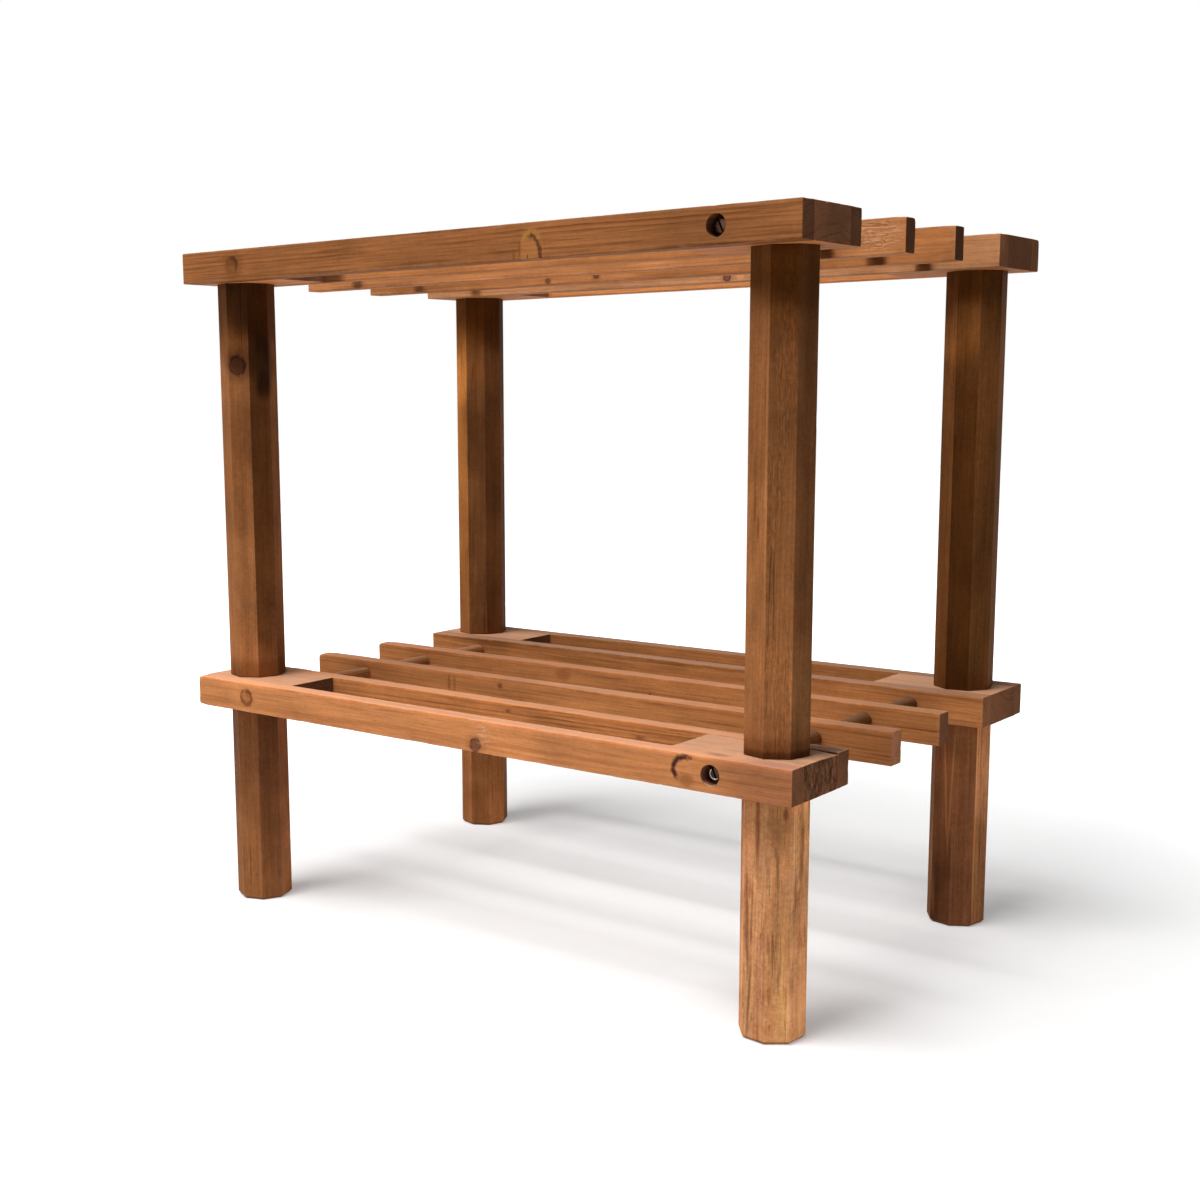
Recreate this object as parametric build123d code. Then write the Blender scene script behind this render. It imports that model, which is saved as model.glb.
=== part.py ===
from build123d import *
import os

# Two-tier slatted entryway bench. Millimetres, +Z up, X along the slats, the front towards -Y,
# origin on the floor under the middle of the seat.

# Slats: every slat of both tiers has the same section and length
slat_length = 480.0
slat_thickness = 12.5
slat_height = 20.5
slat_edge_round = 1.0

# End blocks: each fills one end of a rail, between its outer and its inner slat
block_length = 84.0
block_thickness = 39.5
block_edge_round = 0.6

# Tiers
bench_depth = 316.0
shelf_underside = 143.0
shelf_to_seat = 274.0

# Legs: square stock with its corners cut to an octagon, and a turned tenon on top
leg_width = 36.0
leg_corner_cut = 10.2
leg_end_inset = 28.0
foot_chamfer = 2.0
tenon_diameter = 22.0
tenon_chamfer = 1.0
tenon_seat_gap = 0.5
socket_depth = 28.0
socket_end_gap = 1.0
upper_leg_turns = {"front_left": -18.5, "front_right": -14.5, "rear_left": -17.5, "rear_right": 9.5}
lower_leg_turns = {"front_left": -25.0, "front_right": -7.0, "rear_left": -16.5, "rear_right": -12.0}

# Cross dowels: each runs from one outer slat to the other
dowel_diameter = 10.0
dowel_from_leg = 23.0
dowel_chamfer = 0.5

# Dowel screws, in counterbores that wooden plugs close
screw_web = 4.5
screw_diameter = 4.5
screw_length = 32.0
screw_tip_length = 4.0
screw_tip_diameter = 0.8
pilot_end_gap = 0.5
screw_head_diameter = 9.0
screw_head_height = 3.0
screw_head_round = 1.2
screw_slot_width = 1.2
screw_slot_depth = 1.4
screw_slot_angles = {"front_left": 20.0, "front_right": 65.0, "rear_left": -35.0, "rear_right": 5.0}
plug_diameter = 12.0
plug_chamfer = 0.4
open_hole = "front_right"

# Clearances on the diameter
tenon_clearance = 0.3
dowel_clearance = 0.2
screw_clearance = 0.4
pilot_clearance = 0.1
plug_clearance = 0.2

# How far a cut runs past the face it opens, and the most that an edge is rounded, as a share of its bar
cut_past = 1.0
largest_round = 0.4

# Places that follow from the sizes above
rail_width = 2 * slat_thickness + block_thickness
rail_y = (bench_depth - rail_width) / 2
outer_slat_y = (bench_depth - slat_thickness) / 2
inner_slat_y = rail_y - (block_thickness + slat_thickness) / 2
slat_gap = (bench_depth - 2 * rail_width - 2 * slat_thickness) / 3
middle_slat_y = (slat_gap + slat_thickness) / 2
leg_x = slat_length / 2 - leg_end_inset
dowel_x = leg_x - dowel_from_leg
block_x = (slat_length - block_length) / 2
seat_underside = shelf_underside + slat_height + shelf_to_seat
tier_undersides = {"seat": seat_underside, "shelf": shelf_underside}
counterbore_depth = slat_thickness - screw_web
screw_seat_y = bench_depth / 2 - counterbore_depth
dowel_length = bench_depth - 2 * slat_thickness
tenon_bore = tenon_diameter + tenon_clearance
dowel_bore = dowel_diameter + dowel_clearance
screw_hole = screw_diameter + screw_clearance
pilot_hole = screw_diameter + pilot_clearance
plug_hole = plug_diameter + plug_clearance
sides = {"left": -1, "right": 1}
faces = {"front": -1, "rear": 1}
upwards = (Align.CENTER, Align.CENTER, Align.MIN)


def rod_along_y(x, y, z, diameter, length):
    return Pos(x, y, z) * Rot(X=90) * Cylinder(diameter / 2, length)


def rounded_bar(length, thickness, height, edge_round):
    bar = Box(length, thickness, height)
    return fillet(bar.edges(), min(edge_round, largest_round * thickness, largest_round * height))


def plain_slat(y, middle_z):
    return Pos(0, y, middle_z) * rounded_bar(slat_length, slat_thickness, slat_height, slat_edge_round)


# An inner or middle slat: the dowels go right through it
def bored_slat(y, middle_z):
    slat = plain_slat(y, middle_z)
    bore_length = slat_thickness + 2 * cut_past
    for side in sides.values():
        slat -= rod_along_y(side * dowel_x, y, middle_z, dowel_bore, bore_length)
    return slat


# An outer slat: counterbored from outside for the screws that hold the dowels' ends
def outer_slat(face, middle_z):
    y = face * outer_slat_y
    slat = plain_slat(y, middle_z)
    hole_length = slat_thickness + 2 * cut_past
    recess_length = counterbore_depth + cut_past
    recess_y = face * (screw_seat_y + recess_length / 2)
    for side in sides.values():
        slat -= rod_along_y(side * dowel_x, y, middle_z, screw_hole, hole_length)
        slat -= rod_along_y(side * dowel_x, recess_y, middle_z, plug_hole, recess_length)
    return slat


def end_block(side, face, middle_z):
    y = face * rail_y
    bar = rounded_bar(block_length, block_thickness, slat_height, block_edge_round)
    block = Pos(side * block_x, y, middle_z) * bar
    block -= rod_along_y(side * dowel_x, y, middle_z, dowel_bore, block_thickness + 2 * cut_past)
    block -= Pos(side * leg_x, y, middle_z) * Cylinder(tenon_bore / 2, slat_height + 2 * cut_past)
    return block


def cross_dowel(side, middle_z):
    rod = Cylinder(dowel_diameter / 2, dowel_length)
    rod = chamfer(rod.edges(), dowel_chamfer)
    dowel = Pos(side * dowel_x, 0, middle_z) * Rot(X=90) * rod
    pilot_length = screw_length - screw_web + pilot_end_gap + cut_past
    for face in faces.values():
        pilot_y = face * (dowel_length / 2 + cut_past - pilot_length / 2)
        dowel -= rod_along_y(side * dowel_x, pilot_y, middle_z, pilot_hole, pilot_length)
    return dowel


def slotted_screw(slot_angle):
    head = Cylinder(screw_head_diameter / 2, screw_head_height, align=upwards)
    head = fillet(head.edges().sort_by(Axis.Z)[-1], screw_head_round)
    slot = Box(2 * screw_head_diameter, screw_slot_width, 2 * screw_slot_depth)
    head -= Pos(Z=screw_head_height) * Rot(Z=slot_angle) * slot
    shank_length = screw_length - screw_tip_length
    shank = Pos(Z=-shank_length) * Cylinder(screw_diameter / 2, shank_length, align=upwards)
    tip = Cone(screw_tip_diameter / 2, screw_diameter / 2, screw_tip_length, align=upwards)
    return head + shank + Pos(Z=-screw_length) * tip


def end_plug():
    plug_length = counterbore_depth - screw_head_height
    plug = Pos(Z=screw_head_height) * Cylinder(plug_diameter / 2, plug_length, align=upwards)
    return chamfer(plug.edges(), plug_chamfer)


# A piece modelled along +Z from the bottom of a counterbore, turned to point out of the rail
def set_in_counterbore(piece, side, face, middle_z):
    return Pos(side * dowel_x, face * screw_seat_y, middle_z) * Rot(X=-90 * face) * piece


def octagonal_post(length):
    section = chamfer(Rectangle(leg_width, leg_width).vertices(), leg_corner_cut)
    return extrude(section, length)


def turned_tenon(bottom, length):
    tenon = Cylinder(tenon_diameter / 2, length, align=upwards)
    return Pos(Z=bottom) * chamfer(tenon.edges().sort_by(Axis.Z)[-1], tenon_chamfer)


def lower_leg(turn):
    post = octagonal_post(shelf_underside)
    post = chamfer(post.faces().sort_by(Axis.Z)[0].edges(), foot_chamfer)
    tenon_length = slat_height + socket_depth - socket_end_gap
    return Rot(Z=turn) * (post + turned_tenon(shelf_underside, tenon_length))


def upper_leg(turn):
    post = octagonal_post(shelf_to_seat)
    post -= Cylinder(tenon_bore / 2, socket_depth, align=upwards)
    return Rot(Z=turn) * (post + turned_tenon(shelf_to_seat, slat_height - tenon_seat_gap))


def tier_pieces(tier):
    middle_z = tier_undersides[tier] + slat_height / 2
    pieces = {}
    screws = []
    plugs = []
    for face_name, face in faces.items():
        pieces[f"{tier}_{face_name}_outer_slat"] = outer_slat(face, middle_z)
        pieces[f"{tier}_{face_name}_inner_slat"] = bored_slat(face * inner_slat_y, middle_z)
        pieces[f"{tier}_{face_name}_middle_slat"] = bored_slat(face * middle_slat_y, middle_z)
        for side_name, side in sides.items():
            corner = f"{face_name}_{side_name}"
            pieces[f"{tier}_{corner}_block"] = end_block(side, face, middle_z)
            screw = slotted_screw(screw_slot_angles[corner])
            screws.append(set_in_counterbore(screw, side, face, middle_z))
            if corner != open_hole:
                plugs.append(set_in_counterbore(end_plug(), side, face, middle_z))
    for side_name, side in sides.items():
        pieces[f"{tier}_{side_name}_cross_dowel"] = cross_dowel(side, middle_z)
    pieces[f"{tier}_dowel_screws"] = Compound(children=screws)
    pieces[f"{tier}_dowel_plugs"] = Compound(children=plugs)
    return pieces


def leg_pieces():
    upper_leg_bottom = shelf_underside + slat_height
    pieces = {}
    for face_name, face in faces.items():
        for side_name, side in sides.items():
            corner = f"{face_name}_{side_name}"
            x = side * leg_x
            y = face * rail_y
            pieces[f"{corner}_lower_leg"] = Pos(x, y, 0) * lower_leg(lower_leg_turns[corner])
            pieces[f"{corner}_upper_leg"] = Pos(x, y, upper_leg_bottom) * upper_leg(upper_leg_turns[corner])
    return pieces


os.makedirs("parts", exist_ok=True)
bench = {**tier_pieces("seat"), **tier_pieces("shelf"), **leg_pieces()}
for node, piece in bench.items():
    export_step(piece, f"parts/{node}.step")
    print(f"{node}: {piece.volume:.0f} mm3")
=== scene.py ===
import math

import bmesh
import bpy
import numpy as np
from mathutils import Matrix, Vector
from mathutils import noise as solidNoise


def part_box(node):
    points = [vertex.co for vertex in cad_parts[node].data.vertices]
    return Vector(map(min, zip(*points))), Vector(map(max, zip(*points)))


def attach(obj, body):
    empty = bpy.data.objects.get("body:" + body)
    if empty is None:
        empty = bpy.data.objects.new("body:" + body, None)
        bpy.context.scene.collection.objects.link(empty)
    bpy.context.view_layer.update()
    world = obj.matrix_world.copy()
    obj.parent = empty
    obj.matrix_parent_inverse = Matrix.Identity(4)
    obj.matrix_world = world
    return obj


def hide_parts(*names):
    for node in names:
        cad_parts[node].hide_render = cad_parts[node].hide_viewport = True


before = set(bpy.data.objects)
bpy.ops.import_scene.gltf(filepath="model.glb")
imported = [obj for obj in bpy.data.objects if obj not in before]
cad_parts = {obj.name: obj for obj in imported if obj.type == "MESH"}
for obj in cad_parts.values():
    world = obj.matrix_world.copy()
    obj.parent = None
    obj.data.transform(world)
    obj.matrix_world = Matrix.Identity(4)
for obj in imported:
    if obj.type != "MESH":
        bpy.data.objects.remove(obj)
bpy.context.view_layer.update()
print("frame loaded with", len(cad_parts), "nodes")

tiers = ("seat", "shelf")
faces = {"front": -1, "rear": 1}
sides = {"left": -1, "right": 1}
corners = [f"{face}_{side}" for face in faces for side in sides]
rng = np.random.default_rng(41)
quarterTurn = math.pi / 2


# Values in node trees take plain arithmetic: each operator adds a math node to the value's own tree
class Wire:
    def __init__(self, socket):
        self.socket = socket
        self.tree = socket.id_data
        self.hasAxes = socket.type in ("VECTOR", "RGBA")

    def __add__(self, other):
        return calculate("ADD", self, other)

    def __sub__(self, other):
        return calculate("SUBTRACT", self, other)

    def __rsub__(self, other):
        return calculate("SUBTRACT", other, self)

    def __mul__(self, other):
        return calculate("MULTIPLY", self, other)

    def __truediv__(self, other):
        return calculate("DIVIDE", self, other)

    def __rtruediv__(self, other):
        return calculate("DIVIDE", other, self)

    def __pow__(self, other):
        return calculate("POWER", self, other)

    def __gt__(self, other):
        return calculate("GREATER_THAN", self, other)

    def __lt__(self, other):
        return calculate("LESS_THAN", self, other)

    def __abs__(self):
        return calculate("ABSOLUTE", self)


def calculate(operation, *values):
    wires = [value for value in values if isinstance(value, Wire)]
    hasAxes = any(wire.hasAxes for wire in wires) or any(isinstance(value, tuple) for value in values)
    kind = "ShaderNodeVectorMath" if hasAxes else "ShaderNodeMath"
    node = addNode(wires[0].tree, kind, operation=operation)
    for socket, value in zip(node.inputs, values):
        feed(socket, value)
    return Wire(node.outputs["Value" if operation in ("LENGTH", "DOT_PRODUCT") else 0])


# Helpers for node trees, used by the geometry trees and by the finishes alike
def feed(socket, value):
    if isinstance(value, Wire):
        value.tree.links.new(value.socket, socket)
    else:
        socket.default_value = value


def addNode(tree, kind, inputs=(), **settings):
    node = tree.nodes.new(kind)
    for name, value in settings.items():
        setattr(node, name, value)
    for label, value in dict(inputs).items():
        feed(node.inputs[label], value)
    return node


# A node of which only the first output is used
def made(tree, kind, inputs=(), **settings):
    return Wire(addNode(tree, kind, inputs, **settings).outputs[0])


def outputsOf(node):
    return {socket.name: Wire(socket) for socket in node.outputs}


def remap(value, fromLow, fromHigh, toLow=0.0, toHigh=1.0, shape="SMOOTHSTEP"):
    node = addNode(value.tree, "ShaderNodeMapRange", interpolation_type=shape)
    for socket, part in zip(node.inputs, (value, fromLow, fromHigh, toLow, toHigh)):
        feed(socket, part)
    return Wire(node.outputs[0])


def most(first, second):
    return calculate("MAXIMUM", first, second)


def splitVector(value):
    return [Wire(axis) for axis in addNode(value.tree, "ShaderNodeSeparateXYZ", {"Vector": value}).outputs]


def joinVector(x, y, z):
    tree = next(part.tree for part in (x, y, z) if isinstance(part, Wire))
    return made(tree, "ShaderNodeCombineXYZ", {"X": x, "Y": y, "Z": z})


def noise(place, scale, detail=2.0, rough=0.5, seed=None, output=0):
    inputs = {"Vector": place, "Scale": scale, "Detail": detail, "Roughness": rough}
    if seed is not None:
        inputs["W"] = seed
    dimensions = "3D" if seed is None else "4D"
    node = addNode(place.tree, "ShaderNodeTexNoise", inputs, noise_dimensions=dimensions)
    return Wire(node.outputs[output])


def tint(share, low, high):
    node = addNode(share.tree, "ShaderNodeMix", data_type="RGBA")
    for place, value in ((0, share), (6, low), (7, high)):
        feed(node.inputs[place], value)
    return Wire(node.outputs[2])


# Geometry trees: the inputs are plain numbers, apart from the kinds that are named
def openTree(name, numbers, **kinds):
    tree = bpy.data.node_groups.new(name, "GeometryNodeTree")
    tree.interface.new_socket("Geometry", in_out="INPUT", socket_type="NodeSocketGeometry")
    tree.interface.new_socket("Geometry", in_out="OUTPUT", socket_type="NodeSocketGeometry")
    labels = {**dict.fromkeys(numbers, "Float"), "Finish": "Material"}
    for kind, named in kinds.items():
        labels.update(dict.fromkeys(named, kind))
    for label, kind in labels.items():
        tree.interface.new_socket(label, in_out="INPUT", socket_type="NodeSocket" + kind)
    return tree, outputsOf(tree.nodes.new("NodeGroupInput"))


def closeTree(geometry, finish):
    tree = geometry.tree
    realized = made(tree, "GeometryNodeRealizeInstances", {"Geometry": geometry})
    painted = made(tree, "GeometryNodeSetMaterial", {"Geometry": realized, "Material": finish})
    feed(tree.nodes.new("NodeGroupOutput").inputs[0], painted)
    return tree


def position(tree):
    return made(tree, "GeometryNodeInputPosition")


def moved(geometry, place):
    return made(geometry.tree, "GeometryNodeSetPosition", {"Geometry": geometry, "Position": place})


def raised(geometry, height):
    shift = joinVector(0.0, 0.0, height)
    return made(geometry.tree, "GeometryNodeTransform", {"Geometry": geometry, "Translation": shift})


def cylinder(diameter, depth, vertices, rings, fills):
    return made(diameter.tree, "GeometryNodeMeshCylinder", {
        "Vertices": vertices, "Side Segments": rings, "Fill Segments": fills, "Radius": diameter * 0.5,
        "Depth": depth})


def joined(first, second):
    union = addNode(first.tree, "GeometryNodeMeshBoolean", operation="UNION", solver="MANIFOLD")
    for mesh in (first, second):
        feed(union.inputs["Mesh 2"], mesh)
    return Wire(union.outputs[0])


def cutAway(mesh, cutter):
    meshes = {"Mesh 1": mesh, "Mesh 2": cutter}
    return made(mesh.tree, "GeometryNodeMeshBoolean", meshes, operation="DIFFERENCE", solver="MANIFOLD")


# Where points come to lie when they are pulled out along their own radius
def pulledOut(place, flat, pull):
    return place + calculate("NORMALIZE", flat) * pull


# How deep a chamfer round both ends of a rod cuts, at a height from the rod's middle
def chamferCut(z, length, chamfer):
    return most(chamfer - (length * 0.5 - abs(z)), 0.0)


zoneCells = 2  # cells that each rounded edge gets


# Spreads a grid line's share 0..1 over a size, with extra cells in the zones at both ends
def spread(share, cells, size, zone):
    edge = float(zoneCells) / cells
    far = 1.0 - edge
    first = remap(share, 0.0, edge, 0.0, zone, "LINEAR")
    middle = remap(share, edge, far, 0.0, size - zone * 2.0, "LINEAR")
    last = remap(share, far, 1.0, 0.0, zone, "LINEAR")
    return first + (middle + last)


# A sawn bar about its own middle: edges rounded unevenly, with worn stretches and small chips, but crisp
# along the side that is glued to the next bar
def wornBarTree():
    cells = ("Cells Along", "Cells Across", "Cells Up")
    tree, given = openTree("wornBar", (
        "Edge Round", "End Round", "End Side", "Edge Wear", "Chips", "Unevenness", "Joint Side", "Joint From",
        "Seed"), Vector=["Size"], Int=cells)
    zoneShare = 1.5  # of the edge's radius
    endWear = (0.009, 0.003)  # where an end's extra wear starts and is full
    jointDepth = 0.002
    cube = addNode(tree, "GeometryNodeMeshCube", {"Size": (1.0, 1.0, 1.0)})
    for socket, label in zip(list(cube.inputs)[1:4], cells):
        feed(socket, given[label] + 1.0)
    sizes = splitVector(given["Size"])
    zone = given["Edge Round"] * zoneShare
    halves = [size * 0.5 for size in sizes]
    lines = []
    for start, label, size, half in zip(splitVector(position(tree)), cells, sizes, halves):
        lines.append(spread(start + 0.5, given[label], size, zone) - half)
    place = joinVector(*lines)
    wear = remap(noise(place, 70.0, 2.0, 0.5, given["Seed"]), 0.4, 0.75)
    chip = remap(noise(place, 230.0, 2.0, 0.6, given["Seed"]), 0.6, 0.8)
    nearEnd = remap(halves[0] - lines[0] * given["End Side"], *endWear)
    loss = wear * given["Edge Wear"] + chip * given["Chips"] + nearEnd * given["End Round"]
    onJoint = (lines[1] * given["Joint Side"] > jointDepth) * (abs(lines[0]) > given["Joint From"])
    radius = given["Edge Round"] + loss * (1.0 - onJoint)
    core = joinVector(*halves) - radius
    inner = most(calculate("MINIMUM", place, core), core * (-1.0, -1.0, -1.0))
    outward = calculate("NORMALIZE", place - inner)
    wave = noise(place, 35.0, 1.0, 0.5, given["Seed"]) - 0.5
    reach = radius + wave * given["Unevenness"]
    return closeTree(moved(Wire(cube.outputs[0]), inner + outward * reach), given["Finish"])


# An octagonal post from its foot up, with a chamfered foot, a round tenon on top and maybe a socket below
def octagonLegTree():
    tree, given = openTree("octagonLeg", (
        "Length", "Width", "Edge Round", "Edge Wear", "Foot Chamfer", "Unevenness", "Tenon Diameter",
        "Tenon Length", "Socket Diameter", "Socket Depth", "Seed"), Int=["Rings"], Bool=["Has Socket"])
    facets = 8
    cornerReach = 0.5 / math.cos(math.pi / facets)
    ring = made(tree, "GeometryNodeCurvePrimitiveCircle", {
        "Resolution": facets, "Radius": given["Width"] * cornerReach}, mode="RADIUS")
    turned = made(tree, "GeometryNodeTransform", {
        "Geometry": ring, "Rotation": (0.0, 0.0, math.pi / facets)})
    eased = made(tree, "GeometryNodeFilletCurve", {
        "Curve": turned, "Count": 3, "Radius": given["Edge Round"]}, mode="POLY")
    outline = made(tree, "GeometryNodeSubdivideCurve", {"Curve": eased, "Cuts": 1})
    line = made(tree, "GeometryNodeCurvePrimitiveLine", {"End": joinVector(0.0, 0.0, given["Length"])})
    line = made(tree, "GeometryNodeResampleCurve", {"Curve": line, "Count": given["Rings"]})
    share = splitVector(position(tree))[2] / given["Length"]
    level = spread(share, given["Rings"] - 1.0, given["Length"], given["Foot Chamfer"])
    line = moved(line, joinVector(0.0, 0.0, level))
    post = made(tree, "GeometryNodeCurveToMesh", {
        "Curve": line, "Profile Curve": outline, "Fill Caps": True})
    place = position(tree)
    x, y, z = splitVector(place)
    flat = joinVector(x, y, 0.0)
    cut = most(given["Foot Chamfer"] - z, 0.0)
    wave = noise(place * (1.0, 1.0, 0.4), 45.0, 2.0, 0.5, given["Seed"]) - 0.5
    onCorner = remap(calculate("LENGTH", flat) - given["Width"] * 0.5, 0.0006, 0.0013)
    dent = remap(noise(place, 110.0, 2.0, 0.6, given["Seed"]), 0.58, 0.8) * onCorner * given["Edge Wear"]
    post = moved(post, pulledOut(place, flat, wave * given["Unevenness"] - (cut + dent)))
    sunk = 0.002  # the tenon starts this far inside the post
    tenonDepth = given["Tenon Length"] + sunk
    tenon = cylinder(given["Tenon Diameter"], tenonDepth, 48, 4, 4)
    whole = joined(post, raised(tenon, given["Length"] + tenonDepth * 0.5 - sunk))
    socket = cylinder(given["Socket Diameter"], given["Socket Depth"] * 2.0, 48, 1, 1)
    leg = made(tree, "GeometryNodeSwitch", {
        "Switch": given["Has Socket"], "False": whole, "True": cutAway(whole, socket)})
    return closeTree(leg, given["Finish"])


# A turned rod about its own middle, with chamfered ends and a slightly wavy side
def dowelTree():
    tree, given = openTree("dowel", ("Length", "Diameter", "Chamfer", "Unevenness", "Seed"))
    rod = cylinder(given["Diameter"], given["Length"], 36, 120, 3)
    place = position(tree)
    x, y, z = splitVector(place)
    flat = joinVector(x, y, 0.0)
    wave = noise(place * (1.0, 1.0, 0.3), 120.0, 2.0, 0.5, given["Seed"]) - 0.5
    pull = wave * given["Unevenness"] - chamferCut(z, given["Length"], given["Chamfer"])
    share = remap(calculate("LENGTH", flat), 0.0, given["Diameter"] * 0.5, 0.0, 1.0, "LINEAR")
    return closeTree(moved(rod, pulledOut(place, flat, pull * share)), given["Finish"])


# Four points at the ends of a tier's two dowels, in the order of corners, with outward turns
def dowelEnds(tree, given):
    index = made(tree, "GeometryNodeInputIndex")
    side = calculate("MODULO", index, 2.0) * 2.0 - 1.0
    face = calculate("FLOOR", index / 2.0) * 2.0 - 1.0
    place = joinVector(side * given["Reach X"], face * given["Reach Y"], given["Height"])
    points = made(tree, "GeometryNodePoints", {"Count": len(corners), "Position": place})
    return points, index, face * -quarterTurn


def placedOn(points, piece, angles, kept=True):
    rotation = made(points.tree, "FunctionNodeEulerToRotation", {"Euler": angles})
    return made(points.tree, "GeometryNodeInstanceOnPoints", {
        "Points": points, "Selection": kept, "Instance": piece, "Rotation": rotation})


# Slotted pan-head screws that stand on the counterbores' floors
def screwsTree():
    turnLabels = [f"Turn {corner}" for corner in corners]
    tree, given = openTree("dowelScrews", (
        "Reach X", "Reach Y", "Height", "Head Diameter", "Head Height", "Head Round", "Slot Width",
        "Slot Depth", "Shank Diameter", "Shank Length", "Tip Length", *turnLabels))
    crown = 0.0003
    sunk = 0.001  # the shank starts this far inside the head
    tipShare = 0.18  # of the shank's width
    headRadius = given["Head Diameter"] * 0.5
    head = cylinder(given["Head Diameter"], given["Head Height"], 48, 24, 6)
    x, y, z = splitVector(position(tree))
    level = z + given["Head Height"] * 0.5
    above = most(level - (given["Head Height"] - given["Head Round"]), 0.0)
    arc = calculate("SQRT", most(given["Head Round"] ** 2.0 - above ** 2.0, 0.0))
    shrink = 1.0 - (given["Head Round"] - arc) / headRadius
    share = calculate("LENGTH", joinVector(x, y, 0.0)) / headRadius
    level = level + (1.0 - share ** 2.0) * crown * (above > 0.0)
    head = moved(head, joinVector(x * shrink, y * shrink, level))
    slotSize = joinVector(given["Head Diameter"] * 2.0, given["Slot Width"], given["Slot Depth"] * 2.0)
    slot = raised(made(tree, "GeometryNodeMeshCube", {"Size": slotSize}), given["Head Height"])
    shankDepth = given["Shank Length"] + sunk
    shank = cylinder(given["Shank Diameter"], shankDepth, 20, 60, 1)
    x, y, z = splitVector(position(tree))
    fromTip = z + shankDepth * 0.5
    taper = remap(fromTip, 0.0, given["Tip Length"], tipShare, 1.0, "LINEAR")
    shank = moved(shank, joinVector(x * taper, y * taper, fromTip - given["Shank Length"]))
    screw = joined(cutAway(head, slot), shank)
    points, index, outward = dowelEnds(tree, given)
    turn = addNode(tree, "GeometryNodeIndexSwitch", {"Index": index}, data_type="FLOAT")
    while len(turn.index_switch_items) < len(corners):
        turn.index_switch_items.new()
    for place, label in enumerate(turnLabels):
        feed(turn.inputs[place + 1], given[label])
    placed = placedOn(points, screw, joinVector(outward, Wire(turn.outputs[0]), 0.0))
    return closeTree(placed, given["Finish"])


# Short round plugs over the screws, with a small chamfer, left out at the open corner
def plugsTree():
    tree, given = openTree("dowelPlugs", (
        "Reach X", "Reach Y", "Height", "Diameter", "Length", "Chamfer"), Int=["Open Corner"])
    dish = 0.0002
    radius = given["Diameter"] * 0.5
    plug = cylinder(given["Diameter"], given["Length"], 48, 12, 8)
    x, y, z = splitVector(position(tree))
    share = calculate("LENGTH", joinVector(x, y, 0.0)) / radius
    shrink = 1.0 - chamferCut(z, given["Length"], given["Chamfer"]) / radius
    level = z - given["Length"] * 0.5 - (1.0 - share ** 2.0) * dish * (z > 0.0)
    plug = moved(plug, joinVector(x * shrink, y * shrink, level))
    points, index, outward = dowelEnds(tree, given)
    kept = addNode(tree, "FunctionNodeCompare", data_type="INT", operation="NOT_EQUAL")
    feed(kept.inputs[2], index)
    feed(kept.inputs[3], given["Open Corner"])
    placed = placedOn(points, plug, joinVector(outward, 0.0, 0.0), Wire(kept.outputs[0]))
    return closeTree(placed, given["Finish"])


# Runs a tree on a holder object, cuts what the cutters take away, and gives the plain mesh
def grownMesh(name, tree, settings, cutters=()):
    holder = addObject(name + "Holder", bpy.data.meshes.new(name + "Holder"))
    grow = holder.modifiers.new("grow", "NODES")
    grow.node_group = tree
    inputs = {item.name: item.identifier for item in tree.interface.items_tree if item.in_out == "INPUT"}
    for label, value in settings.items():
        grow[inputs[label]] = value
    for cutter in cutters:
        cut = holder.modifiers.new("cut", "BOOLEAN")
        cut.operation = "DIFFERENCE"
        cut.solver = "MANIFOLD"
        cut.object = cutter
    graph = bpy.context.evaluated_depsgraph_get()
    mesh = bpy.data.meshes.new_from_object(holder.evaluated_get(graph), depsgraph=graph)
    mesh.materials.clear()  # the holes' faces take the same finish
    mesh.materials.append(settings["Finish"])
    mesh.polygons.foreach_set("material_index", np.zeros(len(mesh.polygons), np.int32))
    for spent in (holder, *cutters):
        spentMesh = spent.data
        bpy.data.objects.remove(spent)
        bpy.data.meshes.remove(spentMesh)
    mesh.name = name
    return mesh


def cylinderCutter(at, axis, diameter, depth):
    turns = {"Y": Matrix.Rotation(quarterTurn, 4, "X"), "Z": Matrix.Identity(4)}
    shape = bmesh.new()
    bmesh.ops.create_cone(shape, cap_ends=True, segments=56, radius1=diameter / 2, radius2=diameter / 2,
                          depth=depth, matrix=Matrix.Translation(at) @ turns[axis])
    return cutterObject(shape)


# A small wedge between a few points, for splits, notches and nicks
def wedgeCutter(points, middle):
    shape = bmesh.new()
    for point in points:
        shape.verts.new(Vector(point) - middle)
    bmesh.ops.convex_hull(shape, input=shape.verts)
    return cutterObject(shape)


def cutterObject(shape):
    mesh = bpy.data.meshes.new("cutter")
    shape.to_mesh(mesh)
    shape.free()
    cutter = addObject("cutter", mesh)
    cutter.hide_render = True
    return cutter


# What one mark on the wood can show, each as a strength: a dark heart, a rim (below 0 only a crescent),
# a stained halo (below 0 a pale one, whose rim is golden) and torn fibres
markSlots = 6
markDepth = 0.011  # deeper in the wood a mark doesn't show
farAway = 1000.0
plainMark = {"at": (farAway, farAway, farAway), "branch": (0.0, 1.0, 0.0), "radius": 0.001, "stretch": 1.0,
             "tilt": 0.0, "heart": 0.0, "rim": 0.0, "rimWidth": 0.26, "halo": 0.0, "torn": 0.0}

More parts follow.
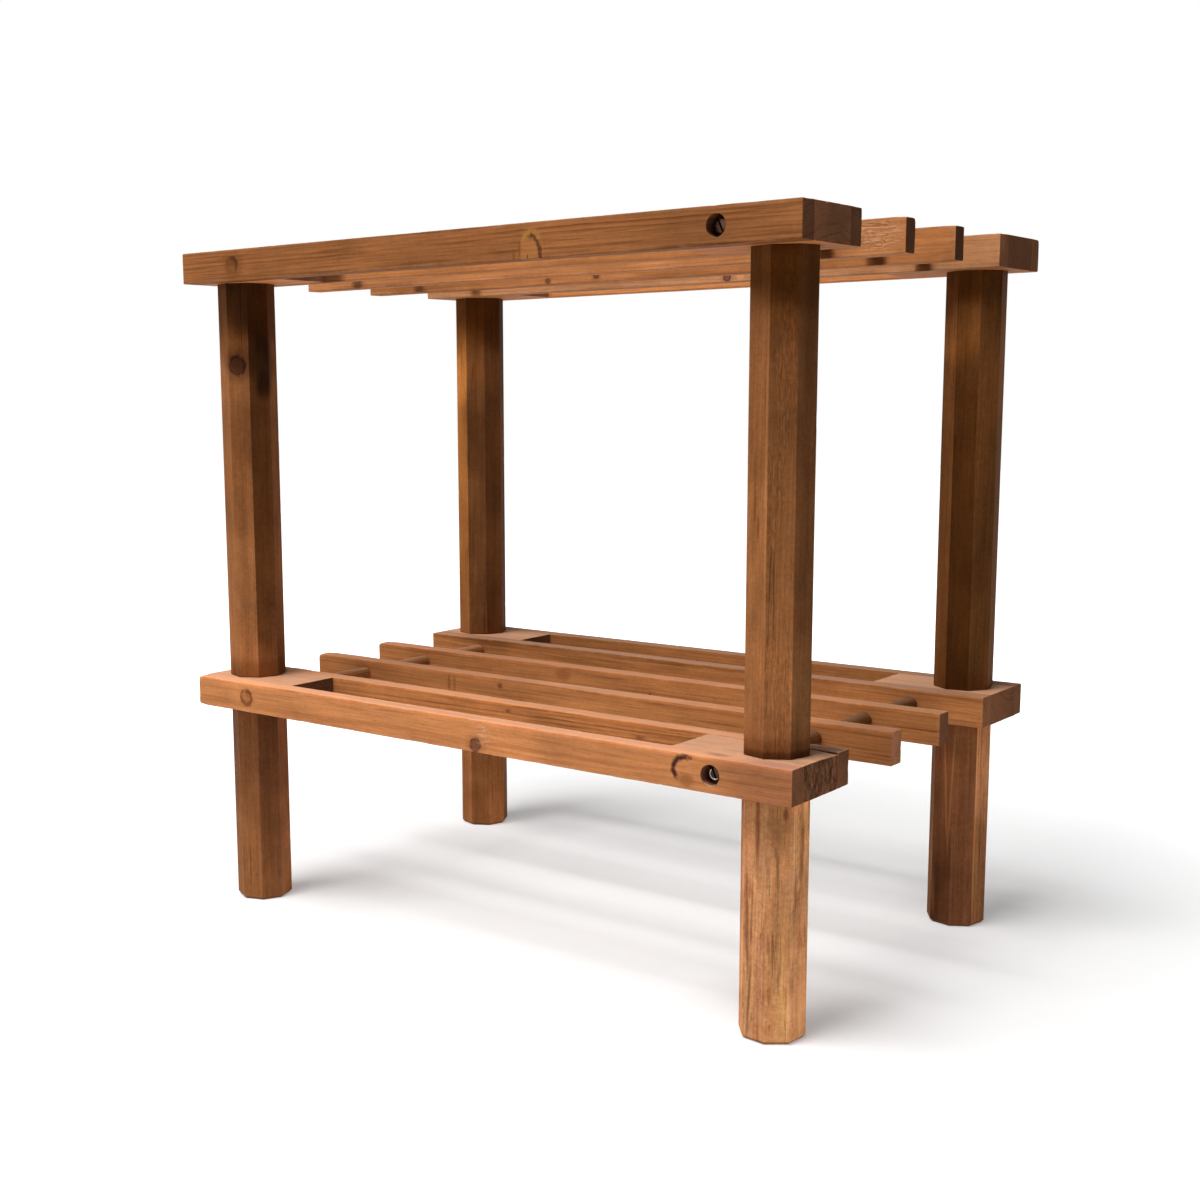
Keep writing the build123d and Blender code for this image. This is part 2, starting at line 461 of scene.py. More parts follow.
# How strongly a piece's wood shows its growth rings, weathering and saw chatter, and how dark its ends are
plainWood = {"tone": 1.0, "hue": (1.0, 1.0, 1.0), "figure": 0.5, "weather": 0.0, "chatter": 0.0,
             "chatterFacet": None, "endTone": 1.0, "lean": (0.0, 0.0), "turn": 0.0, "stainAndShadeWashes": (), "marks": ()}
facetAngle = 45.0  # a leg's facets are counted clockwise from the one that its turn points at
facetEnd = 23.0  # degrees from a facet's middle
washRaggedness = 60.0
sharpAngle = 32


def mark(at, radius, **strengths):
    return {"at": at, "radius": radius, **strengths}


# A wash that makes a place darker or lighter, which may keep to one facet of a leg: real stain, and in many
# places painted shade, shadow, sheen or light
def stainAndShadeWash(at, reach, shade, facet=None):
    return {"at": at, "reach": reach, "shade": shade, "facet": facet}


def addObject(name, data):
    added = bpy.data.objects.new(name, data)
    bpy.context.scene.collection.objects.link(added)
    return added


def setAttribute(mesh, name, kind, field, values):
    layer = mesh.attributes.new(name, kind, "POINT")
    layer.data.foreach_set(field, np.asarray(values, np.float32).ravel())


def meshPoints(mesh):
    points = np.empty(len(mesh.vertices) * 3)
    mesh.vertices.foreach_get("co", points)
    return points.reshape(-1, 3)


# How far each point is on one facet of a leg
def onFacet(local, turn, facet):
    if facet is None:
        return np.ones(len(local))
    away = np.degrees(np.arctan2(local[:, 1], local[:, 0])) - turn + facetAngle * facet
    away = np.abs((away + 180.0) % 360.0 - 180.0)
    return np.clip(facetEnd - away, 0.0, 1.0)


# Each point's stain and painted light and shade: the piece's tone times all its washes
def stainAndShadeOf(points, middle, wood):
    stain = np.tile(wood["tone"] * np.array(wood["hue"]), (len(points), 1))
    if not wood["stainAndShadeWashes"]:
        return stain
    ragged = np.array([solidNoise.noise(Vector(point) * washRaggedness) for point in points])
    for patch in wood["stainAndShadeWashes"]:
        apart = np.linalg.norm((points - np.array(patch["at"])) / np.array(patch["reach"]), axis=1)
        share = np.clip(2.0 * (1.0 - apart) + 0.5 * ragged * np.minimum(apart, 1.0), 0.0, 1.0)
        share = share * share * (3.0 - 2.0 * share) * onFacet(points - middle, wood["turn"], patch["facet"])
        stain *= 1.0 - share[:, None] * (1.0 - np.array(patch["shade"]))
    return stain


# Gives a mesh the wood's own coordinates: along the grain, and across it from the pith of the log
def giveGrain(mesh, middle, axes, wood):
    wood = {**plainWood, **wood}
    points = meshPoints(mesh)
    axes = np.array(axes, float)
    run, wide, tall = ((points - np.array(middle)) @ axes.T).T
    pith, lean = wood["pith"], wood["lean"]
    grain = np.stack([run + wood["shift"], wide - pith[0] - lean[0] * run, tall - pith[1] - lean[1] * run], 1)
    setAttribute(mesh, "grain", "FLOAT_VECTOR", "vector", grain)
    setAttribute(mesh, "stain", "FLOAT_VECTOR", "vector", stainAndShadeOf(points, np.array(middle), wood))
    traits = np.tile([wood["figure"], wood["weather"], wood["endTone"], wood["chatter"]], (len(points), 1))
    traits[:, 3] *= onFacet(points - np.array(middle), wood["turn"], wood["chatterFacet"])
    setAttribute(mesh, "traits", "FLOAT_COLOR", "color", traits)
    marks = list(wood["marks"])
    for slot in range(markSlots):
        knot = {**plainMark, **(marks[slot] if slot < len(marks) else {})}
        branch = np.array(knot["branch"]) / np.linalg.norm(knot["branch"])
        fromMark = points - np.array(knot["at"])
        behind = np.abs(fromMark @ branch) > markDepth
        tilt = math.radians(knot["tilt"])
        beside = np.cross(branch, axes[0])
        along = math.cos(tilt) * axes[0] + math.sin(tilt) * beside
        beside = math.cos(tilt) * beside - math.sin(tilt) * axes[0]
        spot = np.empty((len(points), 4))
        spot[:, 0] = fromMark @ along / (knot["radius"] * knot["stretch"]) + np.where(behind, farAway, 0.0)
        spot[:, 1] = fromMark @ beside / knot["radius"]
        spot[:, 2] = knot["radius"]
        spot[:, 3] = knot["torn"]
        setAttribute(mesh, f"mark{slot}", "FLOAT_COLOR", "color", spot)
        strengths = [knot["heart"], knot["rim"], knot["halo"], knot["rimWidth"]]
        setAttribute(mesh, f"markLook{slot}", "FLOAT_COLOR", "color", np.tile(strengths, (len(points), 1)))


# How near each point is to an edge, from its second nearest bounding plane
def giveEdges(mesh, middle, planes, reach):
    local = meshPoints(mesh) - np.array(middle)
    depths = np.stack([offset - local @ np.array(normal) for normal, offset in planes], 1)
    second = np.sort(depths, 1)[:, 1]
    setAttribute(mesh, "edge", "FLOAT", "value", np.clip(1.0 - second / reach, 0.0, 1.0))


def finishedPiece(node, mesh):
    words = node.split("_")
    piece = addObject(words[0] + "".join(word.capitalize() for word in words[1:]), mesh)
    mesh.shade_smooth()
    mesh.set_sharp_from_angle(angle=math.radians(sharpAngle))
    evenShade = piece.modifiers.new("evenShade", "WEIGHTED_NORMAL")
    evenShade.keep_sharp = True
    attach(piece, "root")
    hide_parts(node)


def attribute(tree, name):
    return outputsOf(addNode(tree, "ShaderNodeAttribute", attribute_name=name))


def objectPlace(tree):
    return outputsOf(addNode(tree, "ShaderNodeTexCoord"))["Object"]


# Stained softwood: growth rings about the pith, knots that push them aside, fibres, streaks, blotchy stain,
# weathered patches, darker end grain and lighter worn edges
def stainedWood(name, look):
    material = bpy.data.materials.new(name)
    material.use_nodes = True
    tree = material.node_tree
    tree.nodes.clear()
    grain = attribute(tree, "grain")["Vector"]
    stain = attribute(tree, "stain")["Vector"]
    edge = attribute(tree, "edge")["Fac"]
    traits = attribute(tree, "traits")
    figure, weather, endTone = splitVector(traits["Vector"])
    place = objectPlace(tree)
    normal = outputsOf(addNode(tree, "ShaderNodeNewGeometry"))["Normal"]

    def stretched(along, across):
        return grain * (along, across, across)

    def patches(along, across, low, high, detail=2.0, rough=0.55):
        return remap(noise(stretched(along, across), 1.0, detail, rough), low, high)

    def swing(value, share):
        return remap(value, 0.3, 0.7, 1.0 - share, 1.0 + share, "LINEAR")

    def swayed(along, across, amount):
        aside = noise(stretched(along, across), 1.0, 2.0, output=1) - (0.5, 0.5, 0.5)
        return aside * (0.0, amount, amount)

    across = grain * (0.0, 1.0, 1.0) + swayed(5.0, 28.0, look["sway"])
    across = across + swayed(40.0, 260.0, look["sway"] * 0.22)
    distance = calculate("LENGTH", across)

    ragged = noise(place, 420.0, 2.0)
    marked = dict.fromkeys(("heart", "rim", "gold", "halo", "pale", "torn", "knotRing"), 0.0)
    for slot in range(markSlots):
        spot = attribute(tree, f"mark{slot}")
        strengths = attribute(tree, f"markLook{slot}")
        u, v, radius = splitVector(spot["Vector"])
        heart, rim, halo = splitVector(strengths["Vector"])
        rimWidth = strengths["Alpha"]
        squared = u * u + v * v
        push = v * radius / most(squared, 1.0)
        distance = distance - push * remap(heart, 0.0, 1.0, 0.0, 0.8)
        out = calculate("SQRT", squared) + ragged * 0.3
        heart = remap(out, 1.2, 1.0) * heart
        crescent = most(remap(v * 0.5 - u * 0.85, -0.15, 0.5), rim > 0.0)
        ring = remap(abs(out - 1.12), rimWidth, rimWidth * 0.3) * crescent * abs(rim)
        pale = halo < 0.0
        shares = {
            "heart": heart, "knotRing": calculate("FRACT", out * 3.4) * heart, "rim": ring * (1.0 - pale),
            "gold": ring * pale * remap(v, -0.35, -0.85), "halo": remap(out, 2.6, 1.0) * halo,
            "pale": remap(out, 1.5, 0.9) * halo * -1.0, "torn": remap(out, 1.3, 0.7) * spot["Alpha"]}
        for kind, share in shares.items():
            marked[kind] = most(marked[kind], share)

    count = distance / look["ringWidth"] + noise(stretched(1.2, 50.0), 1.0, 1.0) * 3.0
    phase = calculate("FRACT", count)
    ringSeed = made(tree, "ShaderNodeTexWhiteNoise", {"W": calculate("FLOOR", count)}, noise_dimensions="1D")
    late = remap(phase, 0.2, 0.85) * remap(phase, 1.0, 0.9) * ringSeed * patches(9.0, 60.0, 0.25, 0.6)

    fibre = noise(stretched(28.0, 950.0), 1.0, 3.0, 0.6)
    line = patches(12.0, 470.0, 0.5, 0.66, 3.0)
    fleck = patches(130.0, 2100.0, 0.6, 0.74, 2.0, 0.6)
    streak = patches(2.2, 120.0, 0.5, 0.75)
    check = patches(16.0, 620.0, 0.6, 0.68) * patches(4.0, 40.0, 0.5, 0.62)
    blotch = noise(stretched(9.0, 34.0), 1.0, 3.0, 0.55)
    cloud = noise(place, 22.0, 3.0, 0.55)
    saw = noise(place * look["sawScale"], 1.0, 2.0, 0.65)
    biteAcross = calculate("DOT_PRODUCT", place, look["biteAcross"])
    biteAlong = calculate("DOT_PRODUCT", place, look["biteAlong"])
    bite = noise(joinVector(biteAcross, biteAlong, 0.0), 1.0, 2.0, 0.6)
    bite = remap(bite, 0.35, 0.65, -1.0, 1.0) * patches(16.0, 100.0, 0.4, 0.55) * traits["Alpha"]
    grit = noise(place, 380.0, 3.0, 0.65)

    colour = tint(calculate("MINIMUM", late * figure, 1.0), look["early"], look["late"])
    colour = tint(streak * look["streaks"], colour, look["streak"])
    colour = tint(weather * patches(9.0, 170.0, 0.46, 0.62, 3.0) * 0.6, colour, look["ochre"])
    colour = tint(weather * patches(45.0, 230.0, 0.56, 0.68) * 0.7, colour, look["rust"])
    shade = swing(fibre, look["fibre"]) * swing(blotch, look["blotch"]) * swing(cloud, look["cloud"])
    shade = shade * swing(saw, look["saw"]) * remap(bite, -1.0, 1.0, 0.84, 1.2, "LINEAR")
    shade = shade * swing(grit, look["grit"]) * ((grit - 0.5) * weather * 0.55 + 1.0)
    shade = shade * (1.0 - line * most(figure, weather) * look["lines"])
    shade = shade * (1.0 - fleck * look["flecks"]) * (1.0 - check * look["checks"])
    colour = colour * shade

    colour = tint(marked["halo"] * remap(fibre, 0.3, 0.6, 0.55, 1.0), colour, look["knotHalo"])
    colour = tint(marked["pale"] * swing(fibre, 0.3), colour, look["pale"])
    colour = tint(marked["heart"], colour, tint(marked["knotRing"], look["knotHeart"], look["knotRing"]))
    rimBreak = remap(noise(place, 170.0, 1.0), 0.3, 0.5)
    colour = tint(marked["rim"] * rimBreak, colour, look["knotRim"])
    colour = tint(marked["gold"], colour, look["gold"])
    splinters = marked["torn"] * patches(160.0, 700.0, 0.4, 0.62, 3.0, 0.7)
    colour = tint(splinters * 0.6, colour, look["worn"])
    wornShare = edge * remap(noise(place, 90.0, 3.0, 0.6), 0.4, 0.7) * look["wear"]
    colour = tint(wornShare, colour, look["worn"])
    # Up-facing surfaces are paler: partly dust, partly painted sheen of the light from above
    upward = remap(splitVector(normal)[2], 0.6, 0.95)
    colour = tint(upward * look["dust"], colour, look["dustAndSheenColour"]) * stain

    endGrain = remap(abs(calculate("DOT_PRODUCT", normal, look["grainAxis"])), 0.55, 0.85)
    pores = noise(place, 1500.0, 2.0, 0.7)
    torn = noise(place * (150.0, 420.0, 150.0), 1.0, 3.0, 0.7, 0.6)
    endShade = remap(late, 0.0, 1.0, 1.0, 0.7) * remap(pores, 0.3, 0.7, 0.6, 1.4)
    endShade = endShade * remap(cloud, 0.3, 0.7, 0.7, 1.3) * endTone
    endShade = endShade * (remap(torn, 0.35, 0.65, -0.75, 0.9, "LINEAR") * weather + 1.0)
    colour = tint(endGrain, colour, endShade * look["end"])

    gloss = remap(fibre, 0.3, 0.7, look["roughness"] - 0.08, look["roughness"] + 0.1, "LINEAR")
    height = late * figure * 0.5 + fibre * 0.6 - fleck * 0.5 - check + saw * look["sawDepth"] + bite * 0.6
    height = height - marked["rim"] * 1.2 + splinters * 3.0
    height = height + endGrain * pores * 1.2 + endGrain * torn * weather * 14.0
    bump = made(tree, "ShaderNodeBump", {"Strength": 1.0, "Distance": look["relief"], "Height": height})
    shader = made(tree, "ShaderNodeBsdfPrincipled", {
        "Base Color": colour, "Roughness": gloss + endGrain * 0.2, "Normal": bump,
        "Specular IOR Level": look["specular"]})
    feed(tree.nodes.new("ShaderNodeOutputMaterial").inputs["Surface"], shader)
    return material


plainLook = {
    "early": (0.56, 0.215, 0.072, 1.0), "late": (0.3, 0.092, 0.024, 1.0), "streak": (0.3, 0.095, 0.026, 1.0),
    "worn": (0.76, 0.38, 0.2, 1.0), "end": (0.26, 0.108, 0.052), "ochre": (0.62, 0.3, 0.1, 1.0),
    "rust": (0.28, 0.075, 0.02, 1.0), "dustAndSheenColour": (0.56, 0.43, 0.34, 1.0),
    "knotHalo": (0.22, 0.065, 0.018, 1.0), "knotHeart": (0.13, 0.045, 0.026, 1.0),
    "knotRing": (0.26, 0.09, 0.034, 1.0), "knotRim": (0.07, 0.021, 0.016, 1.0),
    "gold": (0.78, 0.36, 0.085, 1.0), "pale": (0.98, 0.4, 0.12, 1.0),
    "ringWidth": 0.0024, "sway": 0.004, "fibre": 0.14, "flecks": 0.3, "streaks": 0.35, "checks": 0.3,
    "blotch": 0.16, "cloud": 0.12, "grit": 0.06, "saw": 0.06, "sawScale": (60.0, 900.0, 900.0),
    "sawDepth": 0.3, "biteAcross": (760.0, 520.0, 90.0), "biteAlong": (-60.0, -40.0, 170.0), "lines": 0.32,
    "wear": 0.4, "dust": 0.33, "grainAxis": (1.0, 0.0, 0.0), "roughness": 0.62, "specular": 0.03,
    "relief": 0.00012}
legLook = {
    **plainLook, "grainAxis": (0.0, 0.0, 1.0), "wear": 0.2, "saw": 0.08, "sawScale": (500.0, 500.0, 900.0),
    "sawDepth": 0.6, "ringWidth": 0.0028, "blotch": 0.3, "cloud": 0.18, "grit": 0.1, "checks": 0.5}
dowelLook = {**plainLook, "grainAxis": (0.0, 1.0, 0.0), "ringWidth": 0.0018}
railWood = stainedWood("railStainedPine", plainLook)
legWood = stainedWood("legStainedPine", legLook)
dowelWood = stainedWood("dowelStainedPine", dowelLook)

steelLook = {
    "plain": (0.06, 0.032, 0.02, 1.0), "spot": (0.03, 0.014, 0.009, 1.0), "bright": (0.92, 0.86, 0.82, 1.0)}
# Painted glint: the head in the shelf's open hole is bright along one side of its rim
screwGlint = {
    "axis": (0.189, 0.0, 0.15325), "band": (0.0025, 0.0036), "soft": 0.0003, "towards": (-0.82, 0.0, -0.57)}


def zincSteel():
    material = bpy.data.materials.new("dullZincSteel")
    material.use_nodes = True
    tree = material.node_tree
    shader = tree.nodes["Principled BSDF"].inputs
    place = objectPlace(tree)
    scratches = noise(place * (2600.0, 300.0, 500.0), 1.0, 2.0)
    colour = tint(remap(noise(place, 900.0, 3.0, 0.6), 0.45, 0.7), steelLook["plain"], steelLook["spot"])
    fromAxis = (place - screwGlint["axis"]) * (1.0, 0.0, 1.0)
    out = calculate("LENGTH", fromAxis)
    inside, outside = screwGlint["band"]
    # the bright band on the rim is a painted glint
    worn = remap(out, inside, inside + screwGlint["soft"]) * remap(out, outside, outside - screwGlint["soft"])
    towards = calculate("DOT_PRODUCT", fromAxis, screwGlint["towards"]) / out
    feed(shader["Base Color"], tint(worn * remap(towards, 0.05, 0.4), colour, steelLook["bright"]))
    feed(shader["Roughness"], remap(scratches, 0.3, 0.7, 0.34, 0.55))
    feed(shader["Metallic"], 1.0)
    bump = made(tree, "ShaderNodeBump", {"Strength": 0.6, "Distance": 0.00004, "Height": scratches})
    feed(shader["Normal"], bump)
    return material


screwSteel = zincSteel()
print("finishes made")

barTree = wornBarTree()
legTree = octagonLegTree()
rodTree = dowelTree()
screwTree = screwsTree()
plugTree = plugsTree()

# Sizes that the frame's boxes don't give
bores = {"tenon": 0.0223, "dowel": 0.0102, "screw": 0.0049, "plug": 0.0122, "plugDepth": 0.008, "past": 0.004}
slatShape = {"Edge Round": 0.0004, "End Round": 0.0003, "End Side": 1.0, "Edge Wear": 0.0007, "Chips": 0.0012,
             "Unevenness": 0.0002, "Joint From": 0.155, "Cells Along": 240, "Cells Across": 9, "Cells Up": 13}
blockShape = {"Edge Round": 0.00025, "End Round": 0.0, "End Side": 1.0, "Edge Wear": 0.0003, "Chips": 0.0006,
              "Unevenness": 0.00015, "Joint From": 0.0, "Cells Along": 46, "Cells Across": 22, "Cells Up": 13}
barShapes = {  # bars that are more worn than the rest
    "shelf_front_outer_slat": {"End Round": 0.0012, "End Side": -1.0, "Edge Wear": 0.0009, "Chips": 0.0018},
    "shelf_front_inner_slat": {"Edge Wear": 0.0012, "Chips": 0.0024},
    "shelf_front_middle_slat": {"End Round": 0.0022, "End Side": -1.0},
    "shelf_rear_middle_slat": {"End Round": 0.0022, "End Side": -1.0},
    "seat_front_middle_slat": {"End Round": 0.0012}, "seat_rear_middle_slat": {"End Round": 0.0008},
    "shelf_front_right_block": {"Edge Wear": 0.0008, "Chips": 0.0016}}
railAxes = ((1, 0, 0), (0, 1, 0), (0, 0, 1))  # along the grain first
edgeReach = {"bar": 0.0016, "leg": 0.0012}  # how far from an edge its wear fades out
seedRange = 90
farReach = 9.0  # for washes that have no end in a direction


# Painted shade: an open counterbore gets darker towards its floor
def paintedHoleShade(z):
    return stainAndShadeWash((0.189, -0.15, z), (0.014, 0.007, 0.014), (0.3, 0.26, 0.23))


# Painted shadow of the right seat dowel on the slat face below it
def paintedDowelShadow(y):
    return stainAndShadeWash((0.189, y, 0.4392), (0.0078, 0.004, 0.0075), (0.36, 0.3, 0.22))


# Painted sheen of the light from above: the top of a shelf slat is paler than its sides
def paintedTopSheen(y):
    return stainAndShadeWash((0.0, y, 0.1635), (farReach, farReach, 0.0016), (1.22, 1.1, 0.97))


slatWoods = {
    "seat_front_outer_slat": {
        "tone": 0.46, "hue": (1.0, 0.98, 0.97), "figure": 1.0, "pith": (0.03, -0.09), "shift": 0.3,
        "lean": (0.0, 0.004), "endTone": 0.43,
        "stainAndShadeWashes": [paintedHoleShade(0.44775)],
        "marks": [
            mark((0.066, -0.158, 0.4365), 0.0172, stretch=0.48, halo=-0.36, rim=0.75, rimWidth=0.13),
            mark((0.0662, -0.158, 0.438), 0.0134, stretch=0.5, tilt=180.0, rim=-0.75, rimWidth=0.3),
            mark((0.0635, -0.158, 0.4385), 0.0015, stretch=0.24, heart=1.0, rim=0.6),
            mark((0.0576, -0.158, 0.4418), 0.0034, stretch=0.15, halo=0.8),
            mark((0.0533, -0.158, 0.4392), 0.0018, stretch=0.2, halo=0.7),
            mark((-0.188, -0.158, 0.4485), 0.0058, halo=0.45)]},
    "shelf_front_outer_slat": {
        "tone": 0.9, "hue": (1.0, 1.03, 1.12), "figure": 0.4, "pith": (-0.08, -0.05), "shift": 1.4,
        "lean": (0.01, -0.006), "endTone": 0.8,
        "stainAndShadeWashes": [
            paintedHoleShade(0.15325), paintedTopSheen(-0.152),
            stainAndShadeWash((0.24, -0.158, 0.148), (0.06, 0.02, 0.03), (0.72, 0.7, 0.8))],
        "marks": [
            mark((0.02, -0.158, 0.1475), 0.0042, heart=1.0, rim=0.7, halo=0.5),
            mark((0.1722, -0.158, 0.1543), 0.0072, stretch=-1.0, tilt=180.0, rim=-1.0, rimWidth=0.34),
            mark((-0.189, -0.158, 0.15325), 0.0061, rim=0.5, rimWidth=0.2, halo=0.1),
            mark((0.1762, -0.158, 0.1613), 0.0011, stretch=1.4, heart=0.8),
            mark((0.1737, -0.158, 0.1484), 0.0021, stretch=1.4, halo=0.75),
            mark((0.026, -0.158, 0.1545), 0.007, torn=1.0)]},
    "seat_front_inner_slat": {
        "tone": 0.84, "endTone": 0.46,
        # painted shade on the slat face inside the slot beside the left block
        "stainAndShadeWashes": [stainAndShadeWash((-0.156, -0.106, 0.439), (0.024, 0.01, 0.02), (0.3, 0.27, 0.25))]},
    "seat_front_middle_slat": {
        "tone": 0.82, "hue": (1.0, 1.04, 1.12), "endTone": 0.3,
        "stainAndShadeWashes": [paintedDowelShadow(-0.0395)],
        "marks": [mark((0.222, -0.0395, 0.4486), 0.009, stretch=2.0, torn=1.0)]},
    "seat_rear_middle_slat": {
        "tone": 0.69, "endTone": 0.4,
        "stainAndShadeWashes": [paintedDowelShadow(0.027)],
        "marks": [
            mark((-0.0227, 0.027, 0.4423), 0.0024, heart=0.9, rim=0.6, halo=0.4),
            mark((-0.0649, 0.027, 0.4402), 0.002, heart=0.8, rim=0.5, halo=0.3)]},
    "seat_rear_inner_slat": {
        "tone": 0.75, "hue": (1.0, 1.17, 1.5),
        "stainAndShadeWashes": [paintedDowelShadow(0.0935)],
        "marks": [
            mark((0.0423, 0.0935, 0.441), 0.0028, heart=0.9, rim=0.8, halo=0.4),
            mark((0.053, 0.0935, 0.4415), 0.003, halo=-0.4)]},
    "shelf_front_inner_slat": {
        "tone": 0.84, "figure": 0.8, "endTone": 0.72,
        "stainAndShadeWashes": [paintedTopSheen(-0.0998)],
        "marks": [
            mark((0.0037, -0.106, 0.1586), 0.0012, stretch=1.6, heart=0.6, halo=0.3),
            mark((0.1069, -0.106, 0.1544), 0.001, stretch=3.0, heart=0.5, halo=0.3),
            # this thin dark mark is painted shade in the gap where the slat stands above the right block
            mark((0.2175, -0.106, 0.1631), 0.0011, stretch=18.0, heart=1.0, rim=1.0)]},
    # The shelf's middle and rear slats are toned darker, in part as painted shadow of the seat above them
    "shelf_front_middle_slat": {
        "tone": 0.68, "figure": 0.6, "endTone": 1.7,
        "stainAndShadeWashes": [paintedTopSheen(-0.0332), stainAndShadeWash((0.03, -0.0395, 0.153), (0.08, 0.05, 0.05), (1.15, 1.18, 1.2))],
        "marks": [
            mark((-0.1053, -0.0395, 0.1559), 0.0035, stretch=0.25, halo=0.6),
            mark((-0.1, -0.0395, 0.1555), 0.003, stretch=0.25, halo=0.5),
            mark((-0.0577, -0.0395, 0.1583), 0.0018, heart=0.7, halo=0.4)]},
    "shelf_rear_middle_slat": {
        "tone": 0.76, "figure": 0.6, "endTone": 0.85,
        "stainAndShadeWashes": [paintedTopSheen(0.0332)],
        "marks": [
            mark((0.0241, 0.027, 0.151), 0.0012, heart=0.7, halo=0.4),
            mark((0.228, 0.027, 0.1521), 0.00035, stretch=36.0, halo=0.9),
            mark((-0.0526, 0.027, 0.1575), 0.0025, stretch=1.6, halo=0.5)]},
    "shelf_rear_inner_slat": {"tone": 0.7, "figure": 0.9},
    "shelf_rear_outer_slat": {"tone": 0.6}}


# The planes round a bar, apart from those that are glued to the next bar
def boxPlanes(size, glued):
    planes = [(sign * np.eye(3)[axis], size[axis] / 2) for axis in range(3) for sign in (-1, 1)]
    return [(normal, offset) for normal, offset in planes if normal[1] not in glued]


blockWoods = {
    "seat_front_right_block": {"endTone": 0.86}, "seat_rear_right_block": {"endTone": 0.78},
    "shelf_front_right_block": {"endTone": 0.55, "weather": 0.9}, "shelf_rear_right_block": {"endTone": 0.85},
    "shelf_front_left_block": {"endTone": 0.5}, "shelf_rear_left_block": {"endTone": 0.5}}


# A thin nick across the front corner at the right end of the seat's front slat
def cornerNick(z, deep):
    corner = [(0.241, -0.159, z + 0.0003), (0.241, -0.159, z - 0.0003)]
    return [*corner, (0.24 - deep, -0.1583, z), (0.2403, -0.158 + deep, z)]


# Places where wood has split off or worn away
barSplits = {
    "shelf_front_right_block": [
        [(0.2425, -0.1088, 0.1645), (0.2425, -0.105, 0.1645), (0.2425, -0.1054, 0.1608),
         (0.19, -0.1062, 0.1638)],
        [(0.212, -0.105, 0.1637), (0.243, -0.14, 0.1637), (0.243, -0.105, 0.1622), (0.23, -0.105, 0.1665),
         (0.243, -0.105, 0.1665)]],
    "seat_front_right_block": [
        [(0.241, -0.1342, 0.4587), (0.241, -0.132, 0.4587), (0.241, -0.1331, 0.4564),
         (0.235, -0.1331, 0.4587)]],
    "seat_front_outer_slat": [
        cornerNick(0.4531, 0.002), cornerNick(0.4489, 0.0014), cornerNick(0.4447, 0.0018),
        cornerNick(0.4407, 0.002), cornerNick(0.4392, 0.0012)]}


def barPiece(node, shape, wood, holes, glued):
    low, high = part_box(node)
    size, middle = high - low, (high + low) / 2
    settings = {"Size": tuple(size), **shape, **barShapes.get(node, {}), "Joint Side": float(sum(glued)),
                "Seed": float(rng.uniform(0, seedRange)), "Finish": railWood}
    cutters = [cylinderCutter(Vector(at) - middle, *hole) for at, *hole in holes]
    cutters += [wedgeCutter(points, middle) for points in barSplits.get(node, ())]
    mesh = grownMesh(node, barTree, settings, cutters)
    mesh.transform(Matrix.Translation(middle))
    grain = {"tone": float(rng.uniform(0.85, 1.05)), "shift": float(rng.uniform(0, 5)),
             "pith": tuple(rng.uniform(-0.08, 0.08, 2)), "lean": tuple(rng.uniform(-0.01, 0.01, 2)), **wood}
    giveGrain(mesh, middle, railAxes, grain)
    giveEdges(mesh, middle, boxPlanes(size, glued), edgeReach["bar"])
    finishedPiece(node, mesh)


def dowelMiddle(tier, side):
    low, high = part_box(f"{tier}_{side}_cross_dowel")
    return (low + high) / 2


def slatHoles(tier, face, place):
    low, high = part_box(f"{tier}_{face}_{place}_slat")
    holes = []
    for side in sides:
        through = dowelMiddle(tier, side)
        through.y = (low.y + high.y) / 2
        depth = high.y - low.y + bores["past"]
        if place != "outer":
            holes.append((through, "Y", bores["dowel"], depth))
            continue
        outside = high.y if face == "rear" else low.y
        recess = through.copy()
        recess.y = outside
        holes.append((recess, "Y", bores["plug"], 2 * bores["plugDepth"]))
        holes.append((through, "Y", bores["screw"], depth))
    return holes


for tier in tiers:
    for face in faces:
        for place in ("outer", "inner", "middle"):
            node = f"{tier}_{face}_{place}_slat"
            glued = {"outer": (-faces[face],), "inner": (faces[face],), "middle": ()}[place]
            barPiece(node, slatShape, slatWoods.get(node, {}), slatHoles(tier, face, place), glued)
print("slats made")

for tier in tiers:
    for corner in corners:
        node = f"{tier}_{corner}_block"
        low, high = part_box(node)
        middle = (low + high) / 2
        legLow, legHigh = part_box(f"{corner}_lower_leg")
        tenonAt = (legLow + legHigh) / 2
        tenonAt.z = middle.z
        dowelAt = dowelMiddle(tier, corner.split("_")[1])
        dowelAt.y = middle.y
        holes = [(tenonAt, "Z", bores["tenon"], high.z - low.z + bores["past"]),
                 (dowelAt, "Y", bores["dowel"], high.y - low.y + bores["past"])]
        barPiece(node, blockShape, blockWoods.get(node, {}), holes, (-1, 1))
print("end blocks made")

legShape = {"Width": 0.036, "Edge Round": 0.0007, "Edge Wear": 0.00015, "Foot Chamfer": 0.002,
            "Unevenness": 0.00016, "Tenon Diameter": 0.022, "Socket Diameter": 0.0223, "Socket Depth": 0.028}
legTurns = {
    "upper": {"front_left": -18.5, "front_right": -14.5, "rear_left": -17.5, "rear_right": 9.5},
    "lower": {"front_left": -25.0, "front_right": -7.0, "rear_left": -16.5, "rear_right": -12.0}}
upperFootChamfer = 0.0008
legAxes = ((0, 0, 1), (1, 0, 0), (0, 1, 0))
seatShadowAndStain = (0.34, 0.29, 0.19)  # darkest right under the seat: partly deeper stain, partly painted shadow of the seat


